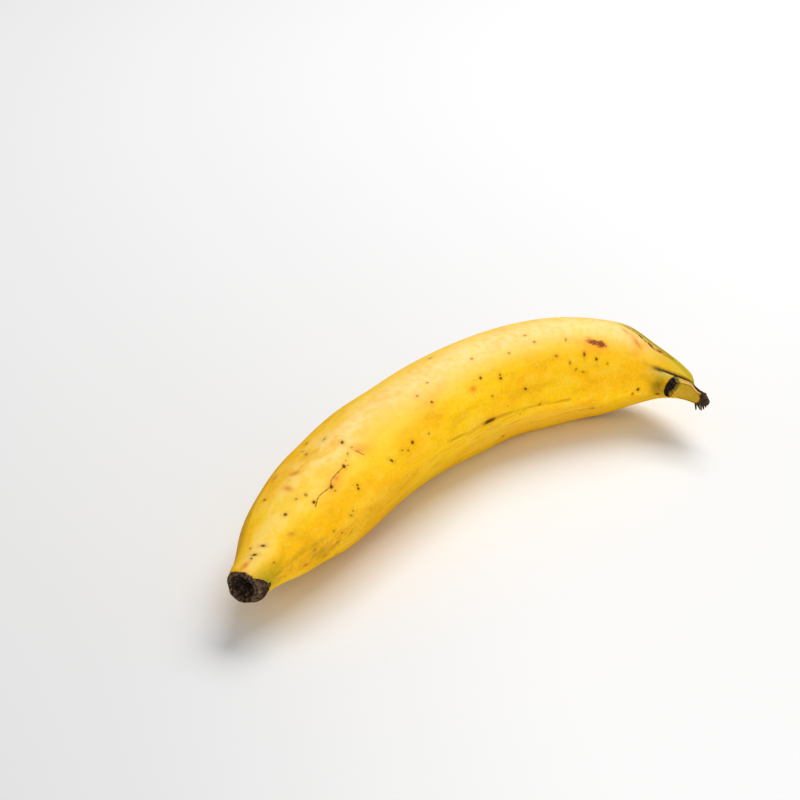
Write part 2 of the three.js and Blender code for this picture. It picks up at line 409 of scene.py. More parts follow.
def bend(points, length):
    """From the straight fruit to the bent one. What would reach under the floor is pressed flat."""
    x, y, station = points.T
    middles = (np.arange(CENTRE_STEPS) + 0.5) / CENTRE_STEPS
    step = length / CENTRE_STEPS
    line_x = np.concatenate(([0], np.cumsum(np.cos(heading(middles))))) * step
    line_y = np.concatenate(([0], np.cumsum(np.sin(heading(middles))))) * step
    nodes = np.linspace(0, 1, CENTRE_STEPS + 1)
    t = np.clip(station / length, 0, 1)
    angle = heading(t)
    past = station - t * length
    drop = TIP_DROP * np.clip(1 - station / length / DROP_SHARE, 0, 2) ** 2
    return np.column_stack((
        np.interp(t, nodes, line_x) + past * np.cos(angle) + x * np.sin(angle),
        np.interp(t, nodes, line_y) + past * np.sin(angle) - x * np.cos(angle),
        np.maximum(0, BELLY_HEIGHT - drop + y),
    ))


def get_points(piece):
    points = np.empty(len(piece.data.vertices) * 3, np.float32)
    piece.data.vertices.foreach_get("co", points)
    return points.reshape(-1, 3).astype(float)


def set_points(piece, points):
    piece.data.vertices.foreach_set("co", points.astype(np.float32).ravel())
    piece.data.update()


def get_normals(piece):
    normals = np.empty(len(piece.data.vertices) * 3, np.float32)
    piece.data.vertex_normals.foreach_get("vector", normals)
    return normals.reshape(-1, 3).astype(float)


def store(piece, name, values):
    """Keeps a value or a vector for each vertex, where the materials can read it."""
    kind, key = ("FLOAT", "value") if values.ndim == 1 else ("FLOAT_VECTOR", "vector")
    attribute = piece.data.attributes.new(name, kind, "POINT")
    attribute.data.foreach_set(key, values.astype(np.float32).ravel())


def bumps(points, height, size, seed):
    """Smooth noise up to the height either way, with bumps of about the size in millimetres."""
    offset = Vector((seed, seed * 1.7, seed * 2.3))
    return height * np.array([noise.noise(Vector(p) / (size * MM) + offset) for p in points])


def lathe(name, rings, sectors):
    """A closed tube on the Z axis: a disc whose edge is extruded and scaled from ring to ring."""
    station, radius = rings[0]
    bpy.ops.object.select_all(action="DESELECT")
    bpy.ops.mesh.primitive_circle_add(
        vertices=sectors, radius=radius, fill_type="NGON", location=(0, 0, station))
    bpy.ops.object.transform_apply(location=True, rotation=True, scale=True)
    piece = bpy.context.object
    piece.name = piece.data.name = name
    bpy.ops.object.mode_set(mode="EDIT")
    bpy.ops.mesh.select_all(action="SELECT")
    bpy.ops.mesh.region_to_loop()
    for next_station, next_radius in rings[1:]:
        bpy.ops.mesh.extrude_region_move(
            TRANSFORM_OT_translate={"value": (0, 0, next_station - station)})
        grow = next_radius / radius
        bpy.ops.transform.resize(value=(grow, grow, 1), center_override=(0, 0, next_station))
        station, radius = next_station, next_radius
    bpy.ops.mesh.edge_face_add()
    bpy.ops.mesh.select_all(action="SELECT")
    bpy.ops.mesh.normals_make_consistent(inside=False)
    bpy.ops.object.mode_set(mode="OBJECT")
    return piece


def apply_subdivision(piece, levels):
    bpy.context.view_layer.objects.active = piece
    modifier = piece.modifiers.new("Smooth", "SUBSURF")
    modifier.levels = levels
    modifier.render_levels = levels
    bpy.ops.object.modifier_apply(modifier=modifier.name)


def skin_ring(station):
    return float(station), float(mean_radius(station))


def ring_plan():
    """The straight fruit's rings by kind, each a station and a radius, from tip to cut."""
    edge = float(mean_radius(CUT_STATION))
    neck = np.linspace(NECK_STARTS, CUT_STATION, NECK_RINGS + 1)[1:]
    return {
        "hollow": [(station * MM, radius * MM) for station, radius in HOLLOW_RINGS],
        "collar": [skin_ring(station * MM) for station in COLLAR_STATIONS],
        "body": [skin_ring(station) for station in np.linspace(BODY_STARTS, NECK_STARTS, BODY_RINGS)],
        "neck": [skin_ring(station) for station in neck],
        "cut": [(CUT_STATION, edge - inset * MM) for inset, _ in CUT_RINGS],
    }


def shape_fruit(piece, plan, fruit):
    """Gives the lathed tube its ridges, collar, leaning neck rings and slanted cut."""
    kinds = [kind for kind, rings in plan.items() for _ in rings]
    rings = np.array([ring for group in plan.values() for ring in group])
    points = get_points(piece)
    out = np.hypot(points[:, 0], points[:, 1])
    gaps = (points[:, 2, None] - rings[:, 0]) ** 2 + (out[:, None] - rings[:, 1]) ** 2
    ring = gaps.argmin(axis=1)
    kind = np.array(kinds)[ring]
    angle = np.degrees(np.arctan2(points[:, 1], points[:, 0]))
    station = rings[ring, 0].copy()
    radius = rings[ring, 1].copy()
    inward = np.zeros(len(points))

    hollow = kind == "hollow"
    radius[hollow] *= collar_lobes(angle[hollow])

    collar = kind == "collar"
    dried = np.clip(1 + COLLAR_FULL - station[collar] / COLLAR_REACH, 0, 1)
    lobes = dried * (collar_lobes(angle[collar]) - 1) * RIM_RADIUS
    radius[collar] = skin_radius(angle[collar], station[collar], fruit) + lobes + COLLAR_FLARE * dried

    body = kind == "body"
    radius[body] = skin_radius(angle[body], station[body], fruit)

    neck = (kind == "neck") | (kind == "cut")
    spin = angle[neck]
    edge = cut_station(spin, fruit)
    u = (station[neck] - NECK_STARTS) / (CUT_STATION - NECK_STARTS)
    base = LUMP_BASE * bell(turn(spin, LUMP_ANGLE), LUMP_WIDTH) * bell(1 - u, LUMP_SHARE)
    station[neck] = NECK_STARTS + (edge - NECK_STARTS) * u
    radius[neck] = skin_radius(spin, station[neck], fruit) + base
    station[neck] += FRAY * bell(turn(spin, CUT_ANGLE + 180), FRAY_WIDTH) * bell(1 - u, FRAY_SHARE)

    insets = np.array([
        CUT_BEVEL, fruit.rind, fruit.rind + CORE_STARTS, fruit.rind + CORE_LEVELS, CORE_MIDDLE])
    sunk = np.array(CUT_RINGS)[:, 1] * MM
    cut = kind == "cut"
    step = ring[cut] - (len(rings) - len(CUT_RINGS))
    share = np.maximum(CORE_LEAST, 1 - insets[step] / radius[cut])
    share[step == len(insets) - 1] = CORE_SHARE
    inward[cut] = insets[step]
    station[cut] = CUT_STATION + (station[cut] - CUT_STATION) * share - sunk[step]
    radius[cut] *= share

    points[:, 0] = radius * np.cos(np.radians(angle)) - RIM_LEAN * hollow
    points[:, 1] = radius * np.sin(np.radians(angle))
    points[:, 2] = station
    set_points(piece, points)
    store(piece, "inward", inward)


def collar_edge(angle, points, fruit):
    """Station at which the dried skin of the tip gives way to yellow peel, ragged all round."""
    spin = np.radians(angle)
    lobe = bell(turn(angle, COLLAR_SIDE), COLLAR_SPREAD)
    waves = sum(height * np.sin(count * spin + phase) for height, count, phase in COLLAR_WAVES)
    ragged = (waves + bumps(points, *COLLAR_RAGS)) * (COLLAR_CALM + lobe)
    return fruit.collar_length * lobe + (ragged - COLLAR_SET_BACK) * MM


def dried_tip(points, angle, fruit):
    """How much each point near the blossom tip belongs to its dried skin."""
    edge = collar_edge(angle, points, fruit)
    side = smooth_step((edge - points[:, 2]) / COLLAR_SOFTNESS + 0.5)
    radius = np.hypot(points[:, 0], points[:, 1])
    return np.maximum(side, grows(radius, RIM_RADIUS, -RIM_SOFTNESS))


def tip_parts(points):
    """How much each point belongs to the hollow of the blossom end, and to the rim round it."""
    radius = np.hypot(points[:, 0] + RIM_LEAN, points[:, 1]) / MM
    ragged = radius - bumps(points, *HOLLOW_RAGS)
    rim = grows(ragged, *RIM_EDGE) * grows(points[:, 2] / MM, *RIM_FRONT)
    return grows(ragged, *HOLLOW_EDGE) * grows(radius, *HOLLOW_LIMIT), rim


def tip_crust(points, angle):
    """Relief of the dried tip in millimetres: scales on its side, a smooth rim, a torn hollow."""
    hollow, rim = tip_parts(points)
    side = (1 - hollow) * (1 - rim)
    scales = sum(np.abs(bumps(points, *scale)) for scale in SCALES)
    furrows = FURROW_DEPTH * np.cos(np.radians(angle) * FURROWS + bumps(points, *FURROW_SWAY))
    torn = sum(bumps(points, *tear) for tear in TORN_HOLLOW)
    waves = sum(bumps(points, *wave) for wave in RIM_WAVES)
    return CRUST_RISE + side * (scales + furrows - CRUST_RISE) + hollow * torn + rim * waves


def lump_line(fruit):
    """Points along the middle of the dried lump, just under the skin."""
    (first, low), (last, high) = LUMP_ENDS
    station = np.linspace(first, last, LUMP_STEPS) * MM
    angle = np.linspace(low, high, LUMP_STEPS)
    radius = skin_radius(angle, station, fruit) * LUMP_DEPTH
    spin = np.radians(angle)
    return np.column_stack((radius * np.cos(spin), radius * np.sin(spin), station))


def neck_folds(station, angle, rim):
    """The crease of the neck, and the ground past the end of the lobe above it."""
    first, last = CREASE[0][0] * MM, CREASE[-1][0] * MM
    start, end = CREASE_FADES
    crease = grows(station, first, start) * grows(station, last + end, -end)
    stations, angles = np.array(LOBE_END).T
    fade = smooth_step(turn(angle, LOBE_FADES) / LOBE_FADE_WIDTH) * (angle % 360 > LOBE_FADES)
    past = grows(station, np.interp(angle % 360, angles, stations) * MM, LOBE_SOFTNESS + LOBE_BLUR * fade)
    past *= grows(station, rim, -LOBE_RIM) * bell(turn(angle, LOBE_ANGLE), LOBE_SPREAD)
    return crease * bell(crease_gap(angle, station), CREASE_WIDTH), past


def neck_relief(points, angle, inner, fruit):
    """The rise of the neck's skin and of the cut, the black crust, the dried seams, and the painted shade
    in the crease, past the lobe's step and beside the lump.
    """
    station = points[:, 2]
    rim = cut_station(angle, fruit)
    crease, past = (fold * (inner < SKIN_EDGE) for fold in neck_folds(station, angle, rim))

    # The dried lump at the heel, with a painted shadow beside it, and the dried toe.
    reach = np.min([np.linalg.norm(points - place, axis=1) for place in lump_line(fruit)], axis=0)
    reach = reach / LUMP_RADIUS + bumps(points, *LUMP_OUTLINE)
    lump = grows(reach, *LUMP_EDGE)
    lump_shadow = grows(reach, *LUMP_SHADOW_EDGE) * (station > LUMP_ENDS[0][0] * MM)
    toe = grows(station + bumps(points, *TOE_OUTLINE) * MM, *TOE_EDGE)

    # The seam over the rim, on the skin and on the cut.
    seam = bell(station - rim + SEAM_SET_BACK, SEAM_WIDTH) * bell(turn(angle, SEAM_ANGLE), SEAM_SPREAD)
    on_cut = grows(inner, *RIM_SEAM) * (inner > RIM_SEAM_STARTS)
    far = turn(angle, RIM_SEAM_ANGLE)
    on_cut *= grows(far, *RIM_SEAM_FROM) * grows(far, *RIM_SEAM_TO)
    seam = np.maximum(seam * (inner < SEAM_DEPTH), on_cut)

    roll = LUMP_RISE * np.sqrt(np.clip(1 - reach ** 2, 0, 1)) + bumps(points, *LUMP_CRUST) * MM
    rough = bumps(points, *SEAM_CRUST) * np.clip(toe + seam, 0, 1) + SEAM_RISE * seam + TOE_RISE * toe
    core = bumps(points * CORE_STRETCH, *CORE_GRAIN) * grows(inner, *CORE_EDGE) * (1 - lump)
    rise = lump * roll + (rough + core) * MM - CREASE_DEPTH * crease - LOBE_STEP * past
    # Painted shade: the crease, the ground past the lobe's step and the lump's shadow take the seam's
    # black.
    seam_and_shade = np.maximum(seam, crease) + PAST_LOBE_SHADE * past + LUMP_SHADOW_SHARE * lump_shadow
    return rise, np.maximum(lump, toe), np.clip(seam_and_shade, 0, 1)


def detail_fruit(piece, fruit):
    """Dents, crests, the rough dried skin at both ends, and the masks that the peel reads."""
    points = get_points(piece)
    normals = get_normals(piece)
    inward = np.empty(len(points), np.float32)
    piece.data.attributes["inward"].data.foreach_get("value", inward)
    angle = np.degrees(np.arctan2(points[:, 1], points[:, 0]))
    station = points[:, 2]
    rise = fruit.dent_depth * bumps(points * DENT_STRETCH, *DENTS)
    body = grows(station, CREST_STARTS, CREST_FADE) * grows(station, CREST_ENDS, -CREST_FADE)
    for base in RIDGE_ANGLES:
        crest = bell(turn(angle, ridge_angle(base, station, fruit.length)), CREST_WIDTH)
        rise += fruit.crest_rise * crest * body

    dried = np.zeros((len(points), 3))
    blossom = np.zeros((len(points), 3))
    tip = station < TIP_ZONE
    spot, spin = points[tip], angle[tip]
    dried[tip, 0] = dried_tip(spot, spin, fruit)
    blossom[tip, :2] = np.column_stack(tip_parts(spot))
    rise[tip] += dried[tip, 0] * tip_crust(spot, spin) * MM

    neck = station > NECK_ZONE
    relief, dried[neck, 1], dried[neck, 2] = neck_relief(points[neck], angle[neck], inward[neck], fruit)
    rise[neck] += relief
    store(piece, "straight", points)
    # The third channel of the dried mask holds the seam and the painted shade of the crease, the lobe's
    # step and the lump.
    store(piece, "dried", dried)
    store(piece, "blossom", blossom)
    mark_skin(piece, points)
    set_points(piece, points + normals * rise[:, None])


def settle(piece, fruit, shift):
    """Bends a straight piece and moves it to the fruit's place."""
    set_points(piece, bend(get_points(piece), fruit.length) + shift)


def middle_shift(piece, fruit):
    """The move that puts the bent fruit's box in the middle of the CAD node's box."""
    points = bend(get_points(piece), fruit.length)
    low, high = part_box(NODE)
    middle = (np.array(low) + np.array(high)) / 2
    shift = middle - (points.min(axis=0) + points.max(axis=0)) / 2
    shift[2] = low[2]
    return shift


def dress(piece, material):
    piece.data.materials.clear()
    piece.data.materials.append(material)
    bpy.ops.object.select_all(action="DESELECT")
    piece.select_set(True)
    bpy.context.view_layer.objects.active = piece
    bpy.ops.object.shade_smooth()
    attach(piece, BODY)
    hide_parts(NODE)


class Wire:
    """An output socket of a shader tree. Python's operators on it add Math nodes."""

    def __init__(self, shader, socket):
        self.shader = shader
        self.socket = socket

    def __add__(self, other):
        return self.shader.math("ADD", self, other)

    def __radd__(self, other):
        return self.shader.math("ADD", other, self)

    def __sub__(self, other):
        return self.shader.math("SUBTRACT", self, other)

    def __rsub__(self, other):
        return self.shader.math("SUBTRACT", other, self)

    def __mul__(self, other):
        return self.shader.math("MULTIPLY", self, other)

    def __rmul__(self, other):
        return self.shader.math("MULTIPLY", other, self)

    def least(self, other):
        return self.shader.math("MINIMUM", self, other)

    def most(self, other):
        return self.shader.math("MAXIMUM", self, other)


class Shader:
    """A material, the few calls that build its node tree, and its colour so far."""

    def __init__(self, name):
        self.material = bpy.data.materials.new(name)
        self.material.use_nodes = True
        self.tree = self.material.node_tree
        self.tree.nodes.clear()
        self.colour = None

    def node(self, kind, settings, sockets, out=0):
        """Adds a node: its settings first, then the values or links of its sockets."""
        node = self.tree.nodes.new(kind)
        for key, value in settings.items():
            setattr(node, key, value)
        for key, value in sockets.items():
            socket = node.inputs[key]
            if isinstance(value, Wire):
                self.tree.links.new(value.socket, socket)
            elif socket.type == "RGBA":
                socket.default_value = (*value, 1)
            else:
                socket.default_value = value
        return Wire(self, node.outputs[out] if len(node.outputs) else None)

    def math(self, operation, *values):
        return self.node("ShaderNodeMath", {"operation": operation}, dict(enumerate(values)))

    def vector_math(self, operation, *values, out=0):
        return self.node("ShaderNodeVectorMath", {"operation": operation}, dict(enumerate(values)), out)

    def length(self, vector):
        return self.vector_math("LENGTH", vector, out="Value")

    def scaled(self, vector, factor):
        return self.node("ShaderNodeVectorMath", {"operation": "SCALE"}, {0: vector, "Scale": factor})

    def drawn_out(self, place, share):
        """The place for a pattern that is longer along the fruit: the less the share, the longer."""
        return self.vector_math("MULTIPLY", place, (1, 1, share))

    def attribute(self, name, out="Vector"):
        return self.node("ShaderNodeAttribute", {"attribute_name": name}, {}, out)

    def parts(self, vector):
        split = self.node("ShaderNodeSeparateXYZ", {}, {0: vector})
        return [Wire(self, socket) for socket in split.socket.node.outputs]

    def mix(self, factor, a, b):
        return self.node("ShaderNodeMix", {"data_type": "RGBA"}, {0: factor, 6: a, 7: b}, 2)

    def paint(self, share, tint):
        """Lays a tint over the colour so far."""
        self.colour = self.mix(share, self.colour, tint)

    def step(self, value, low, high):
        """Rises smoothly from 0 at low to 1 at high, or falls where high is the lower one."""
        return self.node(
            "ShaderNodeMapRange", {"interpolation_type": "SMOOTHSTEP"},
            {"Value": value, "From Min": low, "From Max": high, "To Min": 0.0, "To Max": 1.0})

    def hill(self, value, centre, width):
        """A smooth hill that is 1 at the centre and 0 a width away."""
        return self.step(self.math("ABSOLUTE", value - centre), width, 0.0)

    def noise(self, vector, scale, detail=2.0, roughness=0.5):
        return self.node("ShaderNodeTexNoise", {}, {
            "Vector": vector, "Scale": scale, "Detail": detail, "Roughness": roughness})

    def cells(self, vector, scale, out="Distance"):
        return self.node("ShaderNodeTexVoronoi", {}, {"Vector": vector, "Scale": scale}, out)

    def finish(self, bump_height, bump_distance, **sockets):
        normal = self.node("ShaderNodeBump", {}, {
            "Strength": 1.0, "Distance": bump_distance, "Height": bump_height})
        surface = self.node("ShaderNodeBsdfPrincipled", {}, {
            "Normal": normal, "Base Color": self.colour, **sockets})
        self.node("ShaderNodeOutputMaterial", {}, {"Surface": surface})
        return self.material


# Marks on the skin: station in millimetres, angle, half length and half width in millimetres, and
# how far the mark is turned from the fruit's length, where it is.
DARK_SPECKS = (
    (65.3, 37.5, 0.5, 0.45), (64.5, 34.3, 0.65, 0.55), (30.4, 80, 0.75, 0.65),
    (14.2, 85, 1.0, 0.5, -65), (9.1, 92, 1.1, 0.5, -58), (7.1, 94, 0.5, 0.4),
    (91, 32.5, 1.0, 0.45, -50), (107.3, 34, 0.85, 0.75), (132, 55.5, 0.6, 0.55),
    (165.5, 52, 0.75, 0.6, 20), (176.6, 46, 0.5, 0.45), (176, 42.5, 0.75, 0.6, 20),
    (188.2, 22, 0.85, 0.55, -20), (228.9, 45, 0.95, 0.6, 70), (236, 39, 0.8, 0.7),
    (263, -9, 0.8, 0.7), (42.7, 59, 0.8, 0.65), (54.3, 56, 0.9, 0.7, 20),
    (67.2, 62, 0.95, 0.75, 30), (78.9, 83, 1.05, 0.7, 25), (273.1, -27, 1.2, 0.75, 30),
    (160.3, 6.6, 4.2, 0.85, -3), (35.6, 120, 0.5, 0.5), (176.5, -34, 0.9, 0.5),
)
FAINT_SPECKS = (
    (53.3, 17.5, 0.9, 0.45, -35), (55.4, 20, 0.5, 0.4, -35), (41.4, 16, 0.6, 0.45),
    (46.6, 5, 0.65, 0.5), (53.6, -5, 0.85, 0.45, 40), (45.3, -7, 0.7, 0.5), (11, 41, 0.6, 0.45),
    (50.4, -39, 0.8, 0.5), (43.3, 73, 0.85, 0.65, 30), (65.3, 107, 0.95, 0.5, 20),
    (67.2, 114, 0.5, 0.4), (77.6, 103, 1.0, 0.5), (73.7, 119, 1.2, 0.5, 10),
    (70.5, 65, 0.5, 0.3, 20), (74.4, 69, 0.9, 0.4, 25), (54.3, 50, 0.45, 0.4),
    (69, 60, 0.6, 0.3, -30), (39.4, 80, 0.6, 0.5), (78.9, 71, 0.5, 0.4), (99.6, 34, 0.6, 0.45),
    (102.8, 30, 0.5, 0.4), (128.7, 70, 0.7, 0.55), (139.7, 77, 0.6, 0.5), (169.4, 77, 0.75, 0.6),
    (188, 65, 0.7, 0.5), (201.7, 81, 0.8, 0.5), (203.7, 69, 0.7, 0.6), (220.5, 65, 0.8, 0.55, 70),
    (219.2, 37, 0.75, 0.5, 70), (222.4, 29, 0.85, 0.55, 30), (227, 25, 1.2, 0.4, -10),
    (166.8, 29, 0.8, 0.55), (195.9, 1, 1.0, 0.5), (234.1, -26, 1.1, 0.6), (156.5, 108, 1.0, 0.5),
    (119, 31, 0.6, 0.45), (212.1, 47, 0.7, 0.5), (29.1, 11, 0.7, 0.5), (39.4, -22, 1.2, 0.6),
    (25.9, -11, 0.8, 0.5), (243, 34, 0.6, 0.5), (260, -16, 0.8, 0.7), (11.6, 110, 0.6, 0.4),
)
DARK_STRENGTH = 0.9
FAINT_STRENGTH = 0.52
SPECK_LAYERS = ("specks_1", "specks_2", "specks_3")
SPECK_MARGIN = 1.3
HALO_WIDTH = 0.9
LAYER_GAP = 1.2
FAR = 20.0

# Even the smallest random speck has some reach, because a step can't have no width.
LEAST_REACH = 0.002

# Soft stains, written as the specks are, and how steeply they fade.
STAIN_FALL = 0.8
SCABS = (
    (235.0, 60.5, 3.0, 1.6, -10), (239.2, 58.5, 3.2, 2.0, -6), (257.6, 97, 1.5, 0.8, -30),
    (262.6, 92.5, 1.8, 0.8, -20), (267.3, 95.5, 1.6, 0.9, 20),
)
RUST_SPOTS = (
    (52.4, 103, 1.9, 1.1, -50), (43.3, 98, 1.7, 1.0, 80), (59.5, 59, 1.0, 0.8),
    (24.6, 54, 1.5, 0.9, -50), (49.1, 124, 2.2, 0.9), (219.2, 37, 1.0, 0.8, 70),
    (228.9, 45, 1.5, 1.1, 70), (25.9, -11, 1.5, 0.9), (3, 98, 1.5, 0.8), (45.3, -7, 1.3, 0.9),
    (43, 349, 1.6, 0.8, 20), (157.8, 45, 1.6, 1.0), (79.6, 64, 1.2, 0.8, -50), (212, 47, 1.2, 0.8),
    (232, 62, 1.6, 1.2), (233, 66, 1.2, 0.8), (257.4, 80, 3.0, 0.8, -38), (251, 90, 1.6, 0.7, -20),
)
ORANGE_STAINS = (
    (58, 58, 7, 2.6, 12), (82, 64, 4.5, 2.4, -40), (236, 55, 9, 4), (256.2, 82, 5.0, 1.8, -38),
    (259, 79, 3.4, 1.2, 30), (258, 62, 3.0, 2.0, 60), (157.8, 45, 2.6, 1.8),
    (52.4, 103, 1.8, 1.2, -40), (43.3, 98, 2.2, 1.4, 80), (80, 62, 2.6, 1.6, -40),
    (42, -9, 3.0, 1.6), (2.6, 98, 2.0, 1.5),
)
# Pale stains are partly the peel's own paler patches and partly painted highlight: the two long ones lie
# along the upper flank, where the overhead light falls.
PALE_STAINS_AND_HIGHLIGHT = ((262, 66, 9, 3.0, 10), (96, 60, 26, 7, 5), (40, 84, 24, 6))
# Olive stains are partly the peel's own olive and partly painted shade: in the neck's crease, beside the
# lump and under the ridge near the tip.
OLIVE_STAINS_AND_SHADE = (
    (273.6, -4, 4.0, 4.6), (270.9, 47, 3.0, 0.9), (9, 16, 6, 1.2, 2), (20, 19, 7, 1.3, 3),
    (30, 18, 6, 1.2, -3), (33, -2, 9, 2.2, -20), (5, 30, 6, 2.4),
)
CREAM_STAINS = ((273.5, 42, 5.5, 1.7, 12), (281, 52, 3, 1.2, 10))

# Lines, as the stations and angles of their bends, and how far from a line its place is kept.
LINE_REACH = 3.9
SCRATCHES = (
    ((41.4, 54), (45.3, 59), (47.8, 59.3), (51.1, 58), (54.3, 57), (56.3, 61), (58.8, 62),
     (62.7, 62), (67.5, 62)),
    ((78.6, 65.5), (79.3, 60), (80, 56)),
)
SCRATCH_WIDTH = 0.3
RIDGE_LINES = (
    ((128, 13), (145.5, 7), (156, 7.5), (164, 6), (175, 4), (183, 3), (193, 1), (202, 0), (217, -3)),
    ((194, -27), (203, -27.5), (212, -24), (222, -23), (234, -25)),
)
RIDGE_LINE_WIDTH = 0.75
NECK_LINES = (
    ((249, 99), (255, 99), (259.7, 93), (265, 89), (269.7, 94), (272.5, 108)),
    ((265, 124), (268.5, 121), (271.5, 121)),
)
NECK_LINE_WIDTH = 0.5


class Skin:
    """The straight fruit's points in millimetres, and how they lie to marks on the skin."""

    def __init__(self, points):
        self.station = points[:, 2] / MM
        self.angle = np.degrees(np.arctan2(points[:, 1], points[:, 0]))
        self.radius = np.hypot(points[:, 0], points[:, 1]) / MM

    def offset(self, station, angle):
        return self.station - station, np.radians(turn(self.angle, angle)) * self.radius

    def oval(self, station, angle, half_length, half_width, twist=0):
        """Place in a mark's own frame, where its edge is 1 from its middle."""
        along, across = self.offset(station, angle)
        c, s = math.cos(math.radians(twist)), math.sin(math.radians(twist))
        return (along * c + across * s) / half_length, (across * c - along * s) / half_width

    def stain(self, marks):
        """Soft hills over the marks."""
        ovals = [self.oval(*mark) for mark in marks]
        hills = [np.exp(-(u ** 2 + v ** 2) * STAIN_FALL) for u, v in ovals]
        return np.max(hills, axis=0)

    def layer(self, marks):
        """Each point's place in the frame of the nearest mark, and FAR from any mark's reach. Between
        points this place changes evenly, so the peel draws the marks sharper than the mesh is."""
        place = np.tile([0.0, 0.0, FAR], (len(self.station), 1))
        strength = np.zeros(len(self.station))
        for *mark, dark in marks:
            gap = np.hypot(*self.offset(mark[0], mark[1])) - max(mark[2], mark[3])
            near = gap < SPECK_MARGIN
            u, v = self.oval(*mark)
            place[near] = np.column_stack((u, v, np.zeros(len(u))))[near]
            strength[gap < SPECK_MARGIN + LAYER_GAP / 2] = dark
        return place, strength

    def lines(self, lines, width):
        """Signed distance from the lines over their width, how far past their ends, and FAR."""
        place = np.tile([0.0, 0.0, FAR], (len(self.station), 1))
        least = np.full(len(self.station), LINE_REACH)
        for line in lines:
            for k, (start, end) in enumerate(zip(line, line[1:])):
                along, across = self.offset(*start)
                run = end[0] - start[0]
                rise = np.radians(end[1] - start[1]) * self.radius
                length = np.hypot(run, rise)
                share = (along * run + across * rise) / length ** 2
                side = (across * run - along * rise) / length
                before = np.maximum(0, -share) * length * (k == 0)
                after = np.maximum(0, share - 1) * length * (k == len(line) - 2)
                gap = np.hypot(side, np.maximum(0, np.maximum(-share, share - 1)) * length)
                nearer = gap < least
                least[nearer] = gap[nearer]
                past = (before + after) / width
                place[nearer] = np.column_stack((side / width, past, np.zeros(len(side))))[nearer]
        return place


def speck_layers():
    """Shares the specks out so that no two in a layer come near each other."""
    marks = [(*mark, DARK_STRENGTH) for mark in DARK_SPECKS]
    marks += [(*mark, FAINT_STRENGTH) for mark in FAINT_SPECKS]
    layers = [[] for _ in SPECK_LAYERS]
    for mark in marks:
        radius = float(mean_radius(mark[0] * MM)) / MM
        for layer in layers:
            if all(math.hypot(mark[0] - other[0], math.radians(turn(mark[1], other[1])) * radius)
                   > mark[2] + other[2] + 2 * SPECK_MARGIN + LAYER_GAP for other in layer):
                layer.append(mark)
                break
        else:
            raise RuntimeError(f"no layer has room for the speck at {mark[:2]}")
    return layers


def mark_skin(piece, points):
    """Stores the places of specks, scratches and stains on the fruit."""
    skin = Skin(points)
    strengths = []
    halo = np.zeros(len(points))
    for name, marks in zip(SPECK_LAYERS, speck_layers()):
        place, strength = skin.layer(marks)
        store(piece, name, place)
        strengths.append(strength)
        for *mark, dark in marks:
            gap = (np.hypot(*skin.oval(*mark)) - 1) * mark[3]
            halo = np.maximum(halo, dark * bell(np.maximum(0, gap), HALO_WIDTH))
    store(piece, "speck_strength", np.column_stack(strengths))
    store(piece, "halo", halo)
    # The pale layer is partly painted highlight and the olive one partly painted shade.
    stains = [skin.stain(marks) for marks in (PALE_STAINS_AND_HIGHLIGHT, ORANGE_STAINS, OLIVE_STAINS_AND_SHADE)]
    store(piece, "stains", np.column_stack(stains))
    for name, marks in (("cream", CREAM_STAINS), ("scabs", SCABS), ("rust_spots", RUST_SPOTS)):
        store(piece, name, skin.stain(marks))
    for name, lines, width in (
        ("scratches", SCRATCHES, SCRATCH_WIDTH),
        ("ridge_lines", RIDGE_LINES, RIDGE_LINE_WIDTH),
        ("neck_lines", NECK_LINES, NECK_LINE_WIDTH),
    ):
        store(piece, name, skin.lines(lines, width))


class PLANTAIN_OT_fruit(bpy.types.Operator):
    """Models the whole fruit and its peel"""

    bl_idname = "plantain.fruit"
    bl_label = "Fruit"

    def execute(self, context):
        fruit = context.scene.plantain_fruit
        plan = ring_plan()
        rings = [ring for group in plan.values() for ring in group]
        piece = lathe("fruit", rings, SECTORS)
        shape_fruit(piece, plan, fruit)
        apply_subdivision(piece, fruit.smoothing)
        shift = middle_shift(piece, fruit)
        detail_fruit(piece, fruit)
        context.scene["plantain_shift"] = list(shift)
        settle(piece, fruit, shift)
        dress(piece, peel_material(context.scene.plantain_peel, fruit.length / MM))
        return {"FINISHED"}


